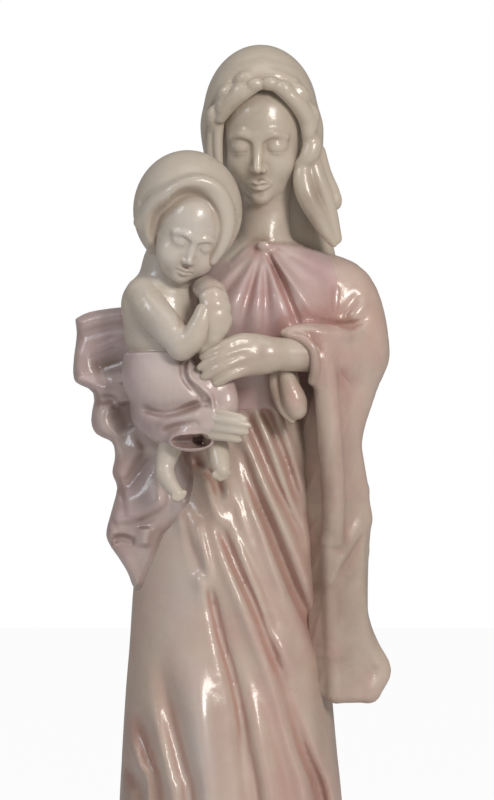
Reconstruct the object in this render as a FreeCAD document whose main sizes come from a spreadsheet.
"""Mother and child statue: a glazed slip-cast figure, luted together from separately cast pieces on a round plinth.

Frame: millimetres, +Z up, the figure faces -Y, and the origin is the centre of the plinth's resting face.
"Left" and "right" are the mother's own. Every casting is a closed solid of its own, and the ones that meet are cut
to each other's face, as the wet castings are, or joined by a spigot, a tenon or a boss with the luting gap round it.

The forms are skins: one cubic surface through a stack of rings. A ring is round or oval, and a fold depth turns its
round outline into drapery, because every second control point then stands out and the ones between fall in.
"""

import FreeCAD, Part
import math
import os

import Sketcher

V = FreeCAD.Vector
doc = FreeCAD.newDocument("mother_and_child")

# ---------------------------------------------------------------------------------------------- driving dimensions
SIZES = [
    # plinth
    ("plinth_radius", 56, "round plinth, resting circle"),
    ("plinth_height", 18, "plinth, resting face to deck"),
    ("plinth_edge_radius", 5, "round on the plinth's deck edge"),
    ("vent_radius", 4.5, "hole that vents the hollow figure in the kiln"),
    ("vent_offset", 18, "vent hole, behind the middle of the plinth"),
    ("boss_height", 3, "boss on the deck that locates the gown"),
    ("casting_wall", 4.5, "wall of the slip-cast shells"),
    ("luting_gap", 0.2, "slip in a luted joint"),
    # gown
    ("gown_height", 270, "deck to waist joint"),
    ("hem_half_width", 49, "gown at the hem"),
    ("hem_half_depth", 42, "gown at the hem"),
    ("knee_half_width", 40.5, "gown at the knee"),
    ("knee_half_depth", 36, "gown at the knee"),
    ("hip_half_width", 34, "gown at the hip"),
    ("hip_half_depth", 29, "gown at the hip"),
    ("waist_half_width", 25, "waist joint"),
    ("waist_half_depth", 20, "waist joint"),
    ("gown_fold_depth", 2.6, "height of a gown fold over its valley, halved"),
    ("spigot_height", 5, "spigot of the bodice inside the gown"),
    # bodice, head and veil
    ("bodice_height", 61, "waist joint to the neck seat"),
    ("chest_half_width", 30, "bodice at the chest"),
    ("chest_half_depth", 22, "bodice at the chest"),
    ("neck_radius", 8.5, "neck"),
    ("neck_tenon_radius", 5.5, "tenon under the neck"),
    ("neck_tenon_length", 11, "tenon under the neck"),
    ("head_rise", 34, "neck seat to the middle of the head"),
    ("head_half_width", 15, "mother's head at the temples"),
    ("head_half_depth", 18.5, "mother's head, brow to nape"),
    ("head_half_height", 23.5, "mother's head, chin to crown"),
    ("head_bow", 10, "degrees that the head bows"),
    ("hair_lock_radius", 5.2, "locks that frame the face"),
    ("veil_cover", 5.8, "veil and hair over the head's own width"),
    # left arm, its sleeve and hand
    ("upper_sleeve_radius", 14.5, "left sleeve at the upper arm"),
    ("cuff_radius", 8.5, "left sleeve where the wrist leaves it"),
    ("wrist_radius", 5, "left wrist and its tenon"),
    ("palm_half_width", 7.5, "left palm across the knuckles"),
    ("palm_half_thickness", 3.9, "left palm, back to front"),
    ("finger_radius", 2.1, "left fingers"),
    ("sleeve_fall_length", 134, "hanging panel, forearm to its lower edge"),
    ("sleeve_fall_half_width", 12.5, "hanging panel, along the cloth"),
    ("sleeve_fall_half_depth", 7, "hanging panel, across the cloth"),
    ("cuff_tip_radius", 4.2, "drop-shaped inner cuff"),
    # right arm, mantle and hand
    ("right_sleeve_radius", 11, "right sleeve"),
    ("cascade_drop", 98, "folded mantle edge under the right forearm"),
    ("cascade_half_width", 15, "folded mantle edge at its top"),
    ("cascade_half_depth", 11, "folded mantle edge, front to back"),
    ("mantle_drop", 280, "back mantle, shoulder to lower edge"),
    ("mantle_half_width", 36, "round that the back mantle is a part of"),
    ("mantle_half_depth", 37, "round that the back mantle is a part of"),
    ("mantle_fold_depth", 1.4, "height of a mantle fold over its valley, halved"),
    # child
    ("child_seat_side", 27, "child's seat, out from the middle to the mother's right"),
    ("child_seat_front", 27, "child's seat, forward of the middle"),
    ("child_seat_rise", 6, "child's seat above the waist joint"),
    ("robe_radius", 14.5, "child's robe round the hips"),
    ("robe_wall", 1.6, "wall of the robe's open hem"),
    ("hem_opening_depth", 5, "depth of the robe's open hem"),
    ("child_chest_radius", 13.5, "child's chest"),
    ("child_head_radius", 14, "child's head"),
    ("hood_cover", 6, "child's hood over its head"),
    ("child_arm_radius", 5, "child's upper arm"),
    ("child_leg_radius", 4.2, "child's shin"),
]
sheet = doc.addObject("Spreadsheet::Sheet", "sizes")
for row, (alias, value, note) in enumerate(SIZES, start=1):
    sheet.set(f"A{row}", note)
    sheet.set(f"B{row}", str(value))
    sheet.setAlias(f"B{row}", alias)
doc.recompute()
mm = {alias: float(sheet.get(alias)) for alias, _, _ in SIZES}

# Heights of the luted joints, and the points that the rest of the figure hangs on.
DECK = mm["plinth_height"]
WAIST = DECK + mm["gown_height"]
NECK = WAIST + mm["bodice_height"]
HEAD = V(10.5, -5, NECK + mm["head_rise"])
SEAT = V(-mm["child_seat_side"], -mm["child_seat_front"], WAIST + mm["child_seat_rise"])
LEFT_WRIST = V(24, -29, WAIST + 18.5)
CUT_THROUGH = 1.0  # how far a cutter runs past the face that it opens


# ------------------------------------------------------------------------------------------------------ skin helpers
def ring(centre, across, deep, half_width, half_depth, points=8, fold=0.0, turn=0.0):
    """Control points of one closed outline round centre, in the plane of the unit vectors across and deep.

    fold is the height of the drapery at this ring, and turn rotates the folds about the axis, in radians.
    """
    # A uniform cubic through points on a circle runs inside it, and between alternating points it keeps a third.
    outset = 3 / (2 + math.cos(2 * math.pi / points))
    outline = []
    for i in range(points):
        angle = 2 * math.pi * i / points + turn
        wave = 3 * fold * (1 if i % 2 else -1)
        outline.append(
            centre
            + across * ((half_width * outset + wave) * math.cos(angle))
            + deep * ((half_depth * outset + wave) * math.sin(angle))
        )
    return outline


def skin(rings):
    """A closed solid: one cubic surface over the rings, with a flat face over the first and the last of them."""
    spans = len(rings) - 3
    points = len(rings[0])
    surface = Part.BSplineSurface()
    surface.buildFromPolesMultsKnots(
        [list(outline) for outline in rings],
        [4] + [1] * (spans - 1) + [4],
        [1] * (points + 1),
        list(range(spans + 1)),
        list(range(points + 1)),
        False,
        True,
        3,
        3,
    )
    faces = [surface.toShape()]
    for end in (0, spans):
        faces.append(Part.Face(Part.Wire([surface.uIso(end).toShape()])))
    sewn = Part.Compound(faces)
    sewn.sewShape(1e-4)
    solid = Part.Solid(sewn.Shells[0])
    if solid.Volume < 0:
        solid.reverse()
    return solid


def upright(stations, points=8, fold=0.0, turn=0.0):
    """A skin over level rings. Each station is (x, y, z, half width, half depth[, share of fold[, share of turn]])."""
    rings = []
    for x, y, z, half_width, half_depth, *shares in stations:
        fold_share, turn_share = (list(shares) + [1.0, 0.0])[:2] if shares else (1.0, 0.0)
        outline = ring(
            V(x, y, z), V(1, 0, 0), V(0, 1, 0), half_width, half_depth, points, fold * fold_share, turn * turn_share
        )
        rings.append(outline)
    return skin(rings)


def limb(stations, side=V(0, 0, 1), points=8, fold=0.0):
    """A skin over rings square to a path. Each station is (point, half size along side, half size across it)."""
    path = [point for point, _, _ in stations]
    rings = []
    for i, (point, along_side, across_side) in enumerate(stations):
        tangent = path[min(i + 1, len(path) - 1)] - path[max(i - 1, 0)]
        tangent.normalize()
        other = tangent.cross(side)
        other.normalize()
        upper = other.cross(tangent)
        rings.append(ring(point, upper, other, along_side, across_side, points, fold))
    return skin(rings)


# -------------------------------------------------------------------------------------------------- document helpers
def form(name, shape):
    """Holds a modelled shape in the document."""
    made = doc.addObject("Part::Feature", name)
    made.Shape = shape
    return made


def primitive(kind, name, placement, **sizes):
    """A Part primitive whose sizes are bound to cells or to formulas of cells."""
    made = doc.addObject(kind, name)
    for prop, formula in sizes.items():
        made.setExpression(prop, formula)
    made.Placement = placement
    return made


def joined(name, pieces):
    """One casting made of several forms."""
    made = doc.addObject("Part::MultiFuse", name)
    made.Shapes = pieces
    made.Refine = False
    return made


def trimmed(name, piece, neighbours):
    """The piece with its neighbours' forms cut away, so that it seats on their faces."""
    for i, neighbour in enumerate(neighbours):
        made = doc.addObject("Part::Cut", f"{name}_on_{neighbour.Name}")
        made.Base = piece
        made.Tool = neighbour
        made.Refine = False
        piece = made
    doc.recompute()
    return piece


castings = []


def casting(label, source):
    """Declares a finished sub-part. A cut can shave crumbs off an edge, and only the body of the casting is kept."""
    doc.recompute()
    solids = sorted(source.Shape.Solids, key=lambda solid: solid.Volume)
    made = form("casting_" + label, solids[-1])
    made.Label = label
    castings.append(made)
    return made


def placed(point, axis=V(0, 0, 1), degrees=0.0):
    return FreeCAD.Placement(point, FreeCAD.Rotation(axis, degrees))


# ------------------------------------------------------------------------------------------------------------ plinth
def circle_sketch(body, name, radius_formula, height_formula, back_formula="0 mm"):
    """A circle in a sketch parallel to the body's XY plane, with its centre back_formula behind the axis."""
    sketch = body.newObject("Sketcher::SketchObject", name)
    plane = next(f for f in body.Origin.OriginFeatures if f.Role == "XY_Plane")
    sketch.AttachmentSupport = [(plane, "")]
    sketch.MapMode = "FlatFace"
    sketch.setExpression("AttachmentOffset.Base.z", height_formula)
    sketch.setExpression("AttachmentOffset.Base.y", back_formula)
    sketch.addGeometry(Part.Circle(V(0, 0, 0), V(0, 0, 1), 10))
    sketch.addConstraint(Sketcher.Constraint("Coincident", 0, 3, -1, 1))
    radius = sketch.addConstraint(Sketcher.Constraint("Radius", 0, 10))
    sketch.setExpression(f"Constraints[{radius}]", radius_formula)
    return sketch


def pull(body, kind, name, sketch, length_formula, upward):
    """A Pad or a Pocket of the sketch. A Pocket cuts against its sketch's normal until it is reversed."""
    feature = body.newObject(kind, name)
    feature.Profile = sketch
    feature.setExpression("Length", length_formula)
    feature.Reversed = upward if kind == "PartDesign::Pocket" else not upward
    doc.recompute()
    return feature


def make_plinth():
    body = doc.addObject("PartDesign::Body", "plinth_body")
    outline = circle_sketch(body, "disc_outline", "sizes.plinth_radius", "0 mm")
    disc = pull(body, "PartDesign::Pad", "disc", outline, "sizes.plinth_height", True)
    rim = [
        f"Edge{i}"
        for i, edge in enumerate(disc.Shape.Edges, start=1)
        if edge.isClosed() and abs(edge.CenterOfMass.z - DECK) < 1e-6
    ]
    rounded = body.newObject("PartDesign::Fillet", "deck_round")
    rounded.Base = (disc, rim)
    rounded.setExpression("Radius", "sizes.plinth_edge_radius")
    doc.recompute()
    inner = "sizes.hem_half_depth - sizes.gown_fold_depth - sizes.casting_wall - 3 * sizes.luting_gap"
    boss = circle_sketch(body, "boss_outline", inner, "sizes.plinth_height")
    pull(body, "PartDesign::Pad", "boss", boss, "sizes.boss_height", True)
    vent = circle_sketch(body, "vent_outline", "sizes.vent_radius", "0 mm", "sizes.vent_offset")
    pull(body, "PartDesign::Pocket", "vent", vent, "sizes.plinth_height + sizes.boss_height", True)
    return body


# -------------------------------------------------------------------------------------------------------------- gown
GOWN_POINTS = 88  # control points round the gown
GOWN_LEVELS = [0.0, 0.04, 0.12, 0.20, 0.28, 0.36, 0.42] + [0.46 + 0.036 * i for i in range(16)]  # shares of its height
FLUTES = 13  # plain folds in the sides and the back, if they went all the way round
SWEEP = 0.75  # radians that the control points lean from the middle of the fan of folds to either end of it
# Folds of the front: the height in gown fold depths (a valley is negative), the half width in mm, and the line from
# the top down as (side, level), in half widths of the gown at the knee and in shares of its height.
FRONT_FOLDS = [
    (1.08, 2.2, [(-0.40, 0.91), (-0.10, 0.79), (0.32, 0.64), (0.52, 0.53), (0.77, 0.30), (0.84, 0.00)]),
    (1.00, 2.0, [(-0.12, 0.91), (0.07, 0.81), (0.32, 0.70), (0.54, 0.61)]),
    (0.85, 2.0, [(0.07, 0.89), (0.26, 0.81), (0.43, 0.74), (0.51, 0.70)]),
    (1.15, 2.2, [(0.06, 0.95), (0.30, 0.88), (0.54, 0.80), (0.74, 0.69)]),
    (0.77, 2.4, [(0.25, 0.97), (0.44, 0.89), (0.66, 0.80), (0.72, 0.76)]),
    (0.69, 2.2, [(-0.54, 0.87), (-0.35, 0.80), (-0.25, 0.71)]),
    (0.92, 4.2, [(-0.40, 0.67), (-0.29, 0.54), (-0.15, 0.27), (-0.10, 0.00)]),
    (0.77, 3.4, [(0.10, 0.64), (0.26, 0.52), (0.49, 0.27), (0.59, 0.00)]),
    (0.69, 2.6, [(-0.77, 0.61), (-0.53, 0.46), (-0.54, 0.27), (-0.59, 0.00)]),
    (0.69, 2.8, [(0.59, 0.61), (0.79, 0.50), (1.04, 0.30)]),
    (-1.23, 2.0, [(-0.46, 0.84), (-0.20, 0.73), (-0.03, 0.63), (0.10, 0.54), (0.30, 0.30), (0.35, 0.00)]),
    (-1.46, 2.1, [(-0.25, 0.86), (0.03, 0.77), (0.28, 0.67), (0.51, 0.57), (0.77, 0.46), (0.91, 0.30), (0.99, 0.00)]),
    (-1.15, 2.0, [(-0.06, 0.89), (0.14, 0.79), (0.35, 0.70), (0.44, 0.66)]),
    (-1.54, 2.1, [(0.05, 0.93), (0.28, 0.84), (0.51, 0.75), (0.79, 0.63)]),
    (-0.92, 2.0, [(0.19, 0.94), (0.46, 0.85), (0.69, 0.76)]),
    (-1.38, 2.2, [(0.59, 0.99), (0.72, 0.89), (0.76, 0.79), (0.80, 0.66)]),
    (-1.62, 2.2, [(-0.69, 0.67), (-0.57, 0.57), (-0.40, 0.46), (-0.35, 0.30), (-0.40, 0.00)]),
    (-1.00, 2.0, [(-0.91, 0.59), (-0.70, 0.46), (-0.69, 0.27), (-0.74, 0.00)]),
]


def ramp(low, high, value):
    """0 below low, 1 above high, and a soft rise between them. low may be the larger one."""
    share = min(max((value - low) / (high - low), 0.0), 1.0)
    return share * share * (3 - 2 * share)


def front_drapery(side, level):
    """How far the folds of the front lift the gown at a place, and the knee that pushes the cloth forward."""
    knee = 3.5 * math.exp(-(((side + 0.42) / 0.37) ** 2) - ((level - 0.545) / 0.167) ** 2)
    lift = 0.0
    for rise, half_width, line in FRONT_FOLDS:
        top, bottom = line[0][1], line[-1][1]
        if not bottom <= level <= top:
            continue
        share = (top - level) / (top - bottom)
        i = next(i for i in range(1, len(line)) if line[i][1] <= level) - 1
        (x0, z0), (x1, z1) = line[i], line[i + 1]
        middle = x0 + (x1 - x0) * (z0 - level) / (z0 - z1)
        lean = math.hypot(1.0, (x1 - x0) * mm["knee_half_width"] / ((z0 - z1) * mm["gown_height"]))
        away = (side - middle) * mm["knee_half_width"] / (half_width * (1 + 0.35 * share) * lean)
        fade = ramp(0.0, 0.16, share) * (ramp(0.0, 0.2, 1 - share) if bottom > 0 else 1.0)
        lift += rise * fade * math.exp(-away * away)
    return knee + lift * mm["gown_fold_depth"]


def gown_stations(inset=0.0, rise=0.0):
    """Hem to waist, as (x, y, z, half width, half depth). inset shrinks the rings for the hollow inside."""
    hem_w, hem_d = mm["hem_half_width"], mm["hem_half_depth"]
    knee_w, knee_d = mm["knee_half_width"], mm["knee_half_depth"]
    hip_w, hip_d = mm["hip_half_width"], mm["hip_half_depth"]
    waist_w, waist_d = mm["waist_half_width"], mm["waist_half_depth"]
    rows = [
        (0.00, 0, 0, hem_w, hem_d),
        (0.04, 0, 0, hem_w + 0.5, hem_d + 0.5),
        (0.16, -1, 0, (2 * hem_w + knee_w) / 3, (2 * hem_d + knee_d) / 3),
        (0.32, -1, -1, (hem_w + 2 * knee_w) / 3, (hem_d + 2 * knee_d) / 3),
        (0.48, -2, -1, knee_w, knee_d),
        (0.65, -2.5, 0, (knee_w + hip_w) / 2, (knee_d + hip_d) / 2),
        (0.82, -0.5, 1, hip_w, hip_d),
        (0.93, 5, 1, (hip_w + 2 * waist_w) / 3, (hip_d + 2 * waist_d) / 3),
        (1.00, 8, 1, waist_w, waist_d),
    ]
    top = mm["gown_height"] + rise
    return [(x, y, DECK - rise + share * (top + rise), w - inset, d - inset) for share, x, y, w, d in rows]


def gown_rings():
    """Rings of control points that lie closer together in front and follow the fan of folds as it sweeps round."""
    rows = gown_stations()
    rings = []
    for level in GOWN_LEVELS:
        z = DECK + level * mm["gown_height"]
        i = next((i for i in range(1, len(rows)) if rows[i][2] >= z - 1e-6), len(rows) - 1)
        share = (z - rows[i - 1][2]) / (rows[i][2] - rows[i - 1][2])
        x, y, _, wide, deep = (a + (b - a) * share for a, b in zip(rows[i - 1], rows[i]))
        sweep = SWEEP * (1 - 2 * (level - GOWN_LEVELS[7]) / (1 - GOWN_LEVELS[7])) if level > GOWN_LEVELS[7] else SWEEP
        outline = []
        for j in range(GOWN_POINTS):
            step = 2 * math.pi * j / GOWN_POINTS
            angle = step - 0.35 * math.sin(step) + sweep
            front = ramp(-0.25, 0.35, math.cos(angle))
            sway = (angle + 0.5 * level) * FLUTES / 2
            flute = 0.58 * mm["gown_fold_depth"] * (abs(math.cos(sway)) - 0.55) * ramp(1.0, 0.44, level)
            lift = (1 - front) * flute
            if front > 0:
                lift += front * front_drapery((x + wide * math.sin(angle)) / mm["knee_half_width"], level)
            outline.append(V(x + (wide + lift) * math.sin(angle), y - (deep + lift) * math.cos(angle), z))
        rings.append(outline)
    return rings


def make_gown():
    outer = form("gown_outer", skin(gown_rings()))
    inset = mm["casting_wall"] + mm["gown_fold_depth"]
    hollow = form("gown_hollow", upright(gown_stations(inset, CUT_THROUGH)))
    return outer, trimmed("gown", outer, [hollow])


# ------------------------------------------------------------------------------------------------------------ bodice
def bodice_stations(inset=0.0):
    waist_w, waist_d = mm["waist_half_width"], mm["waist_half_depth"]
    chest_w, chest_d = mm["chest_half_width"], mm["chest_half_depth"]
    height = mm["bodice_height"]
    rows = [
        (0.00, 8, 1, waist_w, waist_d, 0.4),
        (0.16, 8.5, 1, (waist_w + chest_w) / 2, (waist_d + chest_d) / 2, 0.8),
        (0.42, 9, 1, chest_w, chest_d, 1.0),
        (0.68, 10, 2, chest_w + 2, chest_d, 0.8),
        (0.84, 10.5, 2.5, chest_w, chest_d - 5, 0.4),
        (0.94, 11, 1, chest_w - 12, chest_d - 9, 0.0),
        (1.00, 11, -1, mm["neck_radius"] + 2.5, mm["neck_radius"] + 2.5, 0.0),
    ]
    return [(x, y, WAIST + share * height, w - inset, d - inset, fold) for share, x, y, w, d, fold in rows]


def make_bodice():
    outer = form("bodice_outer", upright(bodice_stations(), 20, 0.7))
    wall = mm["casting_wall"]
    hollow_rows = [row[:5] for row in bodice_stations(wall)[:5]]
    lowered = [(x, y, z - CUT_THROUGH - 0.15 * (z - WAIST), w, d) for x, y, z, w, d in hollow_rows]
    hollow = form("bodice_hollow", upright(lowered))
    socket = primitive(
        "Part::Cylinder",
        "neck_socket",
        placed(V(11, -1, NECK - mm["neck_tenon_length"] - mm["luting_gap"])),
        Radius="sizes.neck_tenon_radius + sizes.luting_gap",
        Height="sizes.neck_tenon_length * 2",
    )
    shell = trimmed("bodice", outer, [hollow, socket])
    inset = wall + mm["gown_fold_depth"] + 3 * mm["luting_gap"]
    waist = (8, 1, mm["waist_half_width"] - inset, mm["waist_half_depth"] - inset)
    drop, rise = mm["spigot_height"], wall
    levels = [WAIST - drop + share * (drop + rise) for share in (0.0, 0.33, 0.66, 1.0)]
    spigot = form("spigot_outer", upright([(waist[0], waist[1], z, waist[2], waist[3]) for z in levels]))
    bored_levels = [WAIST - drop - CUT_THROUGH + share * (drop + rise + 2) for share in (0.0, 0.33, 0.66, 1.0)]
    bore = form(
        "spigot_bore", upright([(waist[0], waist[1], z, waist[2] - wall + 1, waist[3] - wall + 1) for z in bored_levels])
    )
    flange_levels = [WAIST + share * rise for share in (0.0, 0.33, 0.66, 1.0)]
    flange = form(
        "spigot_flange",
        upright([(waist[0], waist[1], z, mm["waist_half_width"] - 3, mm["waist_half_depth"] - 3) for z in flange_levels]),
    )
    whole = joined("bodice_whole", [shell, spigot, flange])
    return outer, trimmed("bodice_whole", whole, [bore])


# ---------------------------------------------------------------------------------------------- head, hair and veil
def make_head():
    skull = primitive(
        "Part::Ellipsoid",
        "skull",
        placed(HEAD, V(1, 0, 0), mm["head_bow"]),
        Radius1="sizes.head_half_height",
        Radius2="sizes.head_half_width",
        Radius3="sizes.head_half_depth",
    )
    skull.Angle3 = 360
    neck = form(
        "neck",
        limb(
            [
                (V(11, -1, NECK), mm["neck_radius"] + 1.5, mm["neck_radius"] + 1.5),
                (V(11, -1, NECK + 5), mm["neck_radius"] + 0.3, mm["neck_radius"] + 0.3),
                (V(11, -1.5, NECK + 12), mm["neck_radius"], mm["neck_radius"]),
                (V(10.8, -2, NECK + 26), mm["neck_radius"], mm["neck_radius"]),
            ],
            V(1, 0, 0),
        ),
    )
    tenon = primitive(
        "Part::Cylinder",
        "neck_tenon",
        placed(V(11, -1, NECK - mm["neck_tenon_length"])),
        Radius="sizes.neck_tenon_radius",
        Height="sizes.neck_tenon_length + 2",
    )
    front = HEAD + V(0, -mm["head_half_depth"], 0)
    nose = form(
        "nose",
        limb(
            [
                (front + V(-0.2, 2.4, 3.5), 1.4, 1.6),
                (front + V(-0.4, 1.2, 0.5), 1.8, 2.0),
                (front + V(-0.7, 0.2, -4.0), 2.3, 2.6),
                (front + V(-0.8, 1.4, -6.8), 2.0, 2.6),
            ],
            V(0, 1, 0),
        ),
    )
    return joined("mother_head_whole", [skull, neck, tenon, nose])


def hair_path(side):
    """The lock on one side of the face, from the parting to where it ends. side is +1 for the mother's left."""
    wide = mm["head_half_width"]
    tall = mm["head_half_height"]
    shared = [
        HEAD + V(side * 1.5, -12.5, 0.86 * tall),
        HEAD + V(side * (0.52 * wide), -12.5, 0.70 * tall),
        HEAD + V(side * (0.95 * wide), -10, 0.30 * tall),
        HEAD + V(side * (1.15 * wide), -5, -0.15 * tall),
    ]
    if side > 0:
        return shared + [
            HEAD + V(1.30 * wide, -5, -0.55 * tall),
            HEAD + V(1.65 * wide, -6, -0.95 * tall),
            HEAD + V(1.55 * wide, -7, -1.55 * tall),
        ]
    return shared + [HEAD + V(-1.05 * wide, -3, -0.60 * tall), HEAD + V(-0.95 * wide, -1, -1.10 * tall)]


def make_hair(side):
    thick = mm["hair_lock_radius"]
    path = hair_path(side)
    grow = [0.45, 0.85, 1.0, 1.0, 1.0, 1.05, 0.55]
    stations = [(point, thick * share, thick * share) for point, share in zip(path, grow)]
    return form("hair_left" if side > 0 else "hair_right", limb(stations, V(0, 1, 0), 10, 0.25))


def make_veil():
    wide, deep, tall = mm["head_half_width"], mm["head_half_depth"], mm["head_half_height"]
    cover = mm["veil_cover"]
    centre = HEAD + V(-0.5, 6, 0)
    crown = HEAD.z + tall + 2 * cover + 1.5
    rows = [
        (0.000, 0, 0.12, 0.12),
        (0.015, 0, 0.42, 0.42),
        (0.075, 0, 0.74, 0.76),
        (0.200, 0, 0.95, 0.95),
        (0.400, 0, 1.02, 1.00),
        (0.600, 1, 1.05, 0.98),
        (0.800, 4, 1.18, 0.86),
        (1.000, 8, 1.30, 0.74),
    ]
    drop = crown - NECK + 4
    stations = [
        (centre.x + 0.5 * share, centre.y + back, crown - share * drop, (wide + cover) * w, (deep + cover) * d)
        for share, back, w, d in rows
    ]
    outer = form("veil_outer", upright(stations, 16, 0.35))
    opening = primitive(
        "Part::Ellipsoid",
        "face_opening",
        placed(HEAD + V(0.5, -mm["head_half_depth"] - 4, -3)),
        Radius1="sizes.head_half_height + 4",
        Radius2="sizes.head_half_width + 1",
        Radius3="sizes.head_half_depth",
    )
    opening.Angle3 = 360
    throat = primitive(
        "Part::Box",
        "throat_opening",
        placed(V(HEAD.x - 14, HEAD.y - 40, NECK - 20)),
        Length="28 mm",
        Width="38 mm",
        Height="sizes.head_rise",
    )
    return trimmed("veil", outer, [opening, throat])


# ------------------------------------------------------------------------------------------ left arm, sleeve and hand
def make_left_sleeve():
    upper, cuff = mm["upper_sleeve_radius"], mm["cuff_radius"]
    shoulder = V(31, 2, NECK - 15)
    stations = [
        (shoulder, upper - 2, upper - 3),
        (shoulder + V(9, -1, -4), upper, upper - 1),
        (V(45, -3, WAIST + 30), upper, upper),
        (V(46, -8, WAIST + 19), upper - 1, upper - 1),
        (V(39, -19, WAIST + 17), (upper + cuff) / 2, (upper + cuff) / 2),
        (LEFT_WRIST + V(4, 3, 0), cuff, cuff),
    ]
    sleeve = form("left_sleeve_form", limb(stations, V(0, 1, 0.3), 12, 0.35))
    socket = primitive(
        "Part::Cylinder",
        "wrist_socket",
        FreeCAD.Placement(LEFT_WRIST + V(12, 8, 0), FreeCAD.Rotation(V(0, 0, 1), V(-4, -2.2, 0))),
        Radius="sizes.wrist_radius + sizes.luting_gap",
        Height="30 mm",
    )
    return sleeve, socket


def make_hand(name, wrist, knuckles, tips, width, thick, finger, side):
    """A palm, a row of four fingers and a thumb. side is the direction from the little finger to the first."""
    along = knuckles - wrist
    palm_stations = [
        (wrist, thick * 1.15, thick * 1.25),
        (wrist + along * 0.3, width * 0.72, thick * 1.1),
        (wrist + along * 0.65, width * 0.95, thick),
        (knuckles, width, thick * 0.85),
        (knuckles + along * 0.12, width * 0.75, thick * 0.45),
    ]
    pieces = [form(name + "_palm", limb(palm_stations, side))]
    spread = (width - finger) / 1.5
    reach = tips - knuckles
    for i in range(4):
        row = (i - 1.5) * spread
        length = 1.0 - 0.12 * abs(i - 1.6)
        root = knuckles + side * row - reach * 0.12
        tip = knuckles + side * (row * 0.86) + reach * length
        bend = V(0, 0, 0.5)
        stations = [
            (root, finger, finger),
            (root + (tip - root) * 0.35 + bend, finger * 1.02, finger * 1.02),
            (root + (tip - root) * 0.70 + bend, finger * 0.92, finger * 0.92),
            (root + (tip - root) * 0.93, finger * 0.72, finger * 0.72),
            (tip, finger * 0.25, finger * 0.25),
        ]
        pieces.append(form(f"{name}_finger_{i + 1}", limb(stations, side)))
    thumb_root = wrist + along * 0.35 + side * (width * 0.35)
    thumb_tip = knuckles + side * (width * 1.05) + reach * 0.22
    stations = [
        (thumb_root, finger, finger),
        (thumb_root + (thumb_tip - thumb_root) * 0.4 + side * 1.2, finger * 1.25, finger * 1.25),
        (thumb_root + (thumb_tip - thumb_root) * 0.8 + side * 0.6, finger, finger),
        (thumb_tip, finger * 0.3, finger * 0.3),
    ]
    pieces.append(form(name + "_thumb", limb(stations, V(0, 1, 0))))
    return pieces


def make_left_hand():
    knuckles = V(3, -41, WAIST + 17)
    tips = V(-13, -42, WAIST + 12)
    wide, thick, finger = mm["palm_half_width"], mm["palm_half_thickness"], mm["finger_radius"]
    pieces = make_hand("left_hand", LEFT_WRIST, knuckles, tips, wide, thick, finger, V(0.1, 0.0, -1.0))
    tenon = primitive(
        "Part::Cylinder",
        "wrist_tenon",
        FreeCAD.Placement(LEFT_WRIST + V(11, 7.4, 0), FreeCAD.Rotation(V(0, 0, 1), V(-4, -2.2, 0))),
        Radius="sizes.wrist_radius",
        Height="18 mm",
    )
    return joined("left_hand_whole", pieces + [tenon])


def make_sleeve_fall():
    """A panel that hangs slantwise: its front edge lies before the gown and its back edge beside it."""
    wide, deep = mm["sleeve_fall_half_width"], mm["sleeve_fall_half_depth"]
    top = WAIST + 22
    along_cloth = V(0.59, 0.81, 0)
    across_cloth = V(-0.81, 0.59, 0)
    rows = [
        (0.00, 40, -15, wide, deep + 2),
        (0.10, 40, -16, wide + 2, deep + 1.5),
        (0.26, 38.5, -17, wide + 1, deep + 0.5),
        (0.45, 40, -16.5, wide + 1, deep),
        (0.68, 40, -15, wide, deep),
        (0.82, 41, -14.5, wide - 0.5, deep),
        (0.92, 44.5, -13.5, wide + 1.5, deep - 1),
        (0.97, 44.5, -13.5, wide + 1.5, deep - 1),
        (1.00, 43.5, -14, wide - 0.5, deep - 1.5),
    ]
    rings = []
    for share, x, y, w, d in rows:
        centre = V(x, y, top - share * mm["sleeve_fall_length"])
        rings.append(ring(centre, along_cloth, across_cloth, w, d, 14, 0.5))
    return form("sleeve_fall_form", skin(rings))


def make_cuff_tip():
    thick = mm["cuff_tip_radius"]
    top = LEFT_WRIST + V(-5, -2, -4)
    rows = [(0, 0.55), (-6, 0.75), (-13, 0.95), (-19, 1.0), (-22.5, 0.75), (-24.5, 0.15)]
    stations = [(top.x + 0.12 * -dz, top.y, top.z + dz, thick * share, thick * share * 0.8) for dz, share in rows]
    return form("cuff_tip_form", upright(stations))


# ---------------------------------------------------------------------------------------- right arm, mantle and hand
def make_right_sleeve():
    wide = mm["right_sleeve_radius"]
    stations = [
        (V(-12, 3, NECK - 16), wide - 2, wide - 2),
        (V(-25, 4, NECK - 20), wide, wide),
        (V(-38, 4, WAIST + 26), wide + 1, wide),
        (V(-44, 1, WAIST + 10), wide + 1, wide),
        (V(-40, -10, WAIST - 2), wide, wide - 1),
        (V(-32, -22, WAIST - 4), wide - 3.5, wide - 3.5),
    ]
    return form("right_sleeve_form", limb(stations, V(0, 1, 0.2), 12, 0.3))


def make_cascade():
    wide, deep = mm["cascade_half_width"], mm["cascade_half_depth"]
    top = WAIST + 32
    rows = [
        (0.00, -44, -1, wide - 2, deep - 3),
        (0.05, -44.5, -2, wide, deep - 1),
        (0.20, -46, -3, wide, deep),
        (0.31, -41, -4, wide - 2, deep),
        (0.40, -39, -5, wide - 1, deep),
        (0.50, -37, -6, wide - 4, deep),
        (0.62, -33, -7, wide - 3, deep),
        (0.80, -35, -8, wide - 2, deep),
        (0.90, -34, -9, wide - 3, deep - 2),
        (1.00, -31, -10, wide - 8, deep - 6),
    ]
    stations = [(x, y, top - share * mm["cascade_drop"], w, d) for share, x, y, w, d in rows]
    return form("cascade_form", upright(stations, 12, 0.8))


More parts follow.
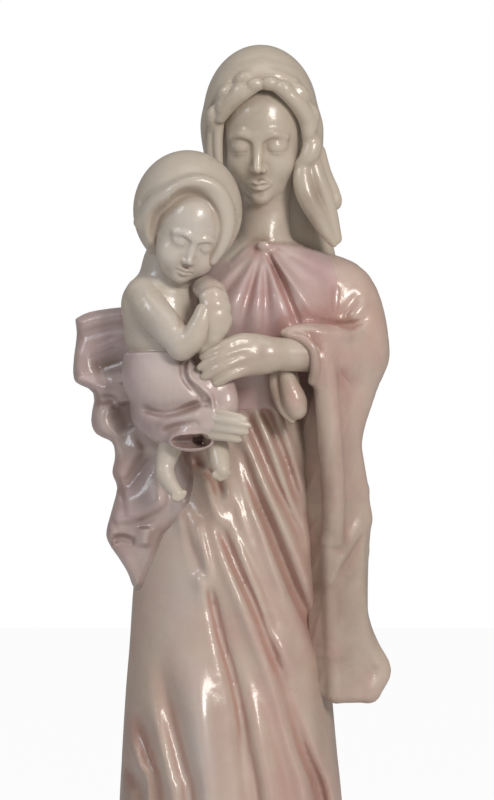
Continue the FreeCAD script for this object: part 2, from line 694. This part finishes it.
def make_right_hand():
    wrist = V(-27, -29, WAIST - 6)
    knuckles = V(-12, -43, WAIST - 8)
    tips = V(3, -46, WAIST - 9)
    wide, thick, finger = mm["palm_half_width"] - 1, mm["palm_half_thickness"], mm["finger_radius"]
    pieces = make_hand("right_hand", wrist, knuckles, tips, wide, thick, finger, V(0.0, 0.25, 1.0))
    return joined("right_hand_whole", pieces)


def make_back_mantle():
    """Part of a round that wraps the back. Its front is cut off, and the figure's own back shapes its inside."""
    wide, deep = mm["mantle_half_width"], mm["mantle_half_depth"]
    top = NECK - 5
    rows = [
        (0.00, 11, 3, wide - 14, deep - 20),
        (0.04, 11, 3.5, wide - 4, deep - 13.5),
        (0.12, 10, 4, wide - 2, deep - 11.5),
        (0.23, 7.5, 4.5, wide - 2, deep - 10.5),
        (0.41, 1, 5.5, wide + 1, deep - 7),
        (0.62, 0, 6.5, wide + 1, deep - 2.5),
        (0.84, -0.5, 7, wide + 1.5, deep),
        (1.00, -0.5, 7.5, wide + 0.5, deep + 0.5),
    ]
    stations = [(x, y, top - share * mm["mantle_drop"], w, d) for share, x, y, w, d in rows]
    whole = form("mantle_form", upright(stations, 28, mm["mantle_fold_depth"]))
    front = primitive(
        "Part::Box",
        "mantle_front",
        placed(V(-2 * wide, 23 - 8 * deep, NECK - 1.2 * mm["mantle_drop"]), V(1, 0, 0), 2.6),
        Length="4 * sizes.mantle_half_width",
        Width="8 * sizes.mantle_half_depth",
        Height="1.3 * sizes.mantle_drop",
    )
    return trimmed("mantle_back", whole, [front])


# ------------------------------------------------------------------------------------------------------------- child
CHEST = SEAT + V(-1.5, 1.5, 10)  # waist joint of the child: its robe meets its body here, face to face
LEAN = V(-0.5, 1.5, 5)  # from the joint upward: the first step of the body, and the last of the robe
CHILD_HEAD = SEAT + V(10, -6, 54)


def make_robe():
    wide = mm["robe_radius"]
    stations = [
        (CHEST, wide - 1.5, wide - 1.5),
        (CHEST - LEAN, wide - 0.3, wide - 0.3),
        (SEAT + V(1, -2, -3), wide, wide + 1),
        (SEAT + V(7, -8, -11), wide, wide - 1),
        (SEAT + V(10.5, -10.5, -17), wide - 2.5, wide - 3),
        (SEAT + V(11.5, -11.5, -22), wide - 3, wide - 4),
    ]
    outer = form("robe_form", limb(stations, V(1, 0, 0.2), 12, 0.25))
    down = V(1, -1, -5)
    down.normalize()
    hem = SEAT + V(11.5, -11.5, -22)
    opening = Part.makeCone(
        wide - 4 - 2 * mm["robe_wall"], wide - 4 - mm["robe_wall"], mm["hem_opening_depth"] + 2,
        hem - down * mm["hem_opening_depth"], down,
    )
    return outer, form("robe_opening", opening)


def make_child_body():
    wide = mm["child_chest_radius"]
    stations = [
        (CHEST, wide - 0.5, wide - 1.0),
        (CHEST + LEAN, wide + 0.2, wide - 0.5),
        (CHEST + V(-1.0, 1.8, 13), wide, wide - 1),
        (CHEST + V(0.5, 0.5, 20), wide - 1.5, wide - 2.5),
        (CHEST + V(4, -2, 27), wide - 6.5, wide - 6.5),
        (CHEST + V(5.5, -3, 32), wide - 8.5, wide - 8),
    ]
    return form("child_body_form", limb(stations, V(1, 0, 0)))


def make_child_head():
    face = primitive(
        "Part::Sphere", "child_face", placed(CHILD_HEAD), Radius="sizes.child_head_radius"
    )
    nose = primitive(
        "Part::Sphere",
        "child_nose",
        placed(CHILD_HEAD + V(2, -mm["child_head_radius"] + 0.2, -2)),
        Radius="sizes.child_head_radius / 8",
    )
    chin = primitive(
        "Part::Sphere",
        "child_chin",
        placed(CHILD_HEAD + V(1, -4.5, -8)),
        Radius="sizes.child_head_radius / 2 + 0.6",
    )
    return joined("child_head_whole", [face, nose, chin])


def make_hood():
    cover = mm["hood_cover"]
    outer = primitive(
        "Part::Ellipsoid",
        "hood_outer",
        placed(CHILD_HEAD + V(-0.5, 5, 8)),
        Radius1="sizes.child_head_radius + sizes.hood_cover + 2.2",
        Radius2="sizes.child_head_radius + sizes.hood_cover",
        Radius3="sizes.child_head_radius + sizes.hood_cover - 1",
    )
    outer.Angle3 = 360
    opening = primitive(
        "Part::Ellipsoid",
        "hood_opening",
        placed(CHILD_HEAD + V(1, -mm["child_head_radius"] - 3, -7)),
        Radius1="sizes.child_head_radius + 4",
        Radius2="sizes.child_head_radius",
        Radius3="sizes.child_head_radius + 4",
    )
    opening.Angle3 = 360
    nape = primitive(
        "Part::Box",
        "hood_nape",
        placed(CHILD_HEAD + V(-25, -30, -22)),
        Length="50 mm",
        Width="60 mm",
        Height="8 mm",
    )
    return trimmed("hood", outer, [opening, nape])


def make_child_arm(side):
    """side is +1 for the child's left arm, which lies nearer the mother's breast."""
    thick = mm["child_arm_radius"]
    if side > 0:
        path = [V(13, -3, 31), V(17, -9, 25), V(19, -14, 18), V(15, -19, 15), V(11, -20, 20)]
    else:
        path = [V(-9, -3, 30), V(-9, -10, 23), V(-3, -16, 14), V(5, -19, 13), V(10, -19, 20)]
    grow = [0.85, 1.0, 0.95, 0.9, 0.6]
    stations = [(SEAT + point, thick * share, thick * share) for point, share in zip(path, grow)]
    return form("child_arm_left" if side > 0 else "child_arm_right", limb(stations, V(1, 0, 0.3)))


def make_child_leg(side):
    thick = mm["child_leg_radius"]
    if side > 0:
        path = [V(19, -13, -20), V(20.5, -15, -25), V(21.5, -16, -29), V(22.5, -18, -33), V(23, -21, -34.5)]
    else:
        path = [V(3, -11, -21), V(1.5, -11, -28), V(2, -11.5, -35), V(4, -14, -41), V(5, -18, -43)]
    grow = [1.0, 1.05, 0.85, 0.95, 0.6]
    stations = [(SEAT + point, thick * share, thick * share) for point, share in zip(path, grow)]
    return form("child_leg_left" if side > 0 else "child_leg_right", limb(stations, V(1, 0, 0)))


def make_shoe():
    """The toe of the forward right foot, under the hem."""
    hem = V(-17, -mm["hem_half_depth"] + 8, DECK)
    stations = [
        (hem, 5.5, 9.0),
        (hem + V(-0.5, -5, 0), 5.5, 8.5),
        (hem + V(-1, -9, 0), 4.6, 7.5),
        (hem + V(-1.5, -12, 0), 2.8, 5.0),
        (hem + V(-1.5, -13, 0), 0.8, 1.5),
    ]
    whole = form("shoe_form", limb(stations, V(0, 0, 1)))
    below = primitive(
        "Part::Box",
        "shoe_below_deck",
        placed(hem + V(-30, -30, -20)),
        Length="60 mm",
        Width="60 mm",
        Height="20 mm",
    )
    return trimmed("shoe", whole, [below])


# -------------------------------------------------------------------------------------------------- the whole figure
plinth = make_plinth()
gown_form, gown = make_gown()
bodice_form, bodice = make_bodice()
head = make_head()
hair_left, hair_right = make_hair(1), make_hair(-1)
veil = make_veil()
left_sleeve, wrist_socket = make_left_sleeve()
left_hand = make_left_hand()
sleeve_fall = make_sleeve_fall()
cuff_tip = make_cuff_tip()
right_sleeve = make_right_sleeve()
cascade = make_cascade()
right_hand = make_right_hand()
mantle = make_back_mantle()
robe, robe_opening = make_robe()
child_body = make_child_body()
child_head = make_child_head()
hood = make_hood()
arm_left, arm_right = make_child_arm(1), make_child_arm(-1)
leg_left, leg_right = make_child_leg(1), make_child_leg(-1)
shoe = make_shoe()
doc.recompute()

mother_core = [bodice_form, gown_form]
casting("plinth", plinth)
casting("gown_skirt", gown)
casting("bodice", bodice)
casting("mother_head", head)
casting("left_hair_lock", trimmed("lock_left", hair_left, [head, bodice_form]))
casting("right_hair_lock", trimmed("lock_right", hair_right, [head, bodice_form, hair_left]))
casting("veil", trimmed("veil_seat", veil, [head, hair_left, hair_right, bodice_form, hood]))
casting("left_sleeve", trimmed("sleeve_seat", left_sleeve, [bodice_form, wrist_socket]))
casting("left_hand", left_hand)
casting("left_sleeve_fall", trimmed("fall_seat", sleeve_fall, mother_core + [left_sleeve, left_hand]))
casting("left_cuff_tip", trimmed("tip_seat", cuff_tip, mother_core + [left_sleeve, left_hand, sleeve_fall]))
casting("right_sleeve", trimmed("right_seat", right_sleeve, mother_core))
casting("mantle_cascade", trimmed("cascade_seat", cascade, mother_core + [right_sleeve]))
casting("right_hand", trimmed("right_hand_seat", right_hand, mother_core + [right_sleeve, cascade]))
casting(
    "back_mantle",
    trimmed("mantle_seat", mantle, mother_core + [veil, right_sleeve, cascade, left_sleeve, sleeve_fall]),
)
mother = mother_core + [right_sleeve, cascade, right_hand, left_hand, left_sleeve]
casting("child_robe", trimmed("robe_seat", robe, [robe_opening] + mother))
casting("child_body", trimmed("body_seat", child_body, mother + [child_head]))
casting("child_head", trimmed("child_head_seat", child_head, mother + [head]))
casting("child_hood", trimmed("hood_seat", hood, mother + [child_head, child_body, head, hair_right, robe]))
casting("child_left_arm", trimmed("arm_left_seat", arm_left, mother + [child_body, robe, child_head, hood]))
casting(
    "child_right_arm",
    trimmed("arm_right_seat", arm_right, mother + [child_body, robe, child_head, hood, arm_left]),
)
casting("child_left_leg", trimmed("leg_left_seat", leg_left, mother + [robe]))
casting("child_right_leg", trimmed("leg_right_seat", leg_right, mother + [robe]))
casting("right_shoe", trimmed("shoe_seat", shoe, [gown_form]))

# -------------------------------------------------------------------------------------------------- checks and files
doc.recompute()
for item in doc.Objects:
    if "Invalid" in item.State or "Error" in item.State:
        raise RuntimeError(f"{item.Name} failed: {item.State}")
os.makedirs("parts", exist_ok=True)
for item in castings:
    shape = item.Shape
    if shape.isNull() or not shape.isValid() or shape.Volume <= 0:
        raise RuntimeError(f"{item.Label} is not a valid solid")
    shape.exportStep(f"parts/{item.Label}.step")
    print(f"{item.Label}: {shape.Volume / 1000:.1f} cm3, {len(shape.Faces)} faces")
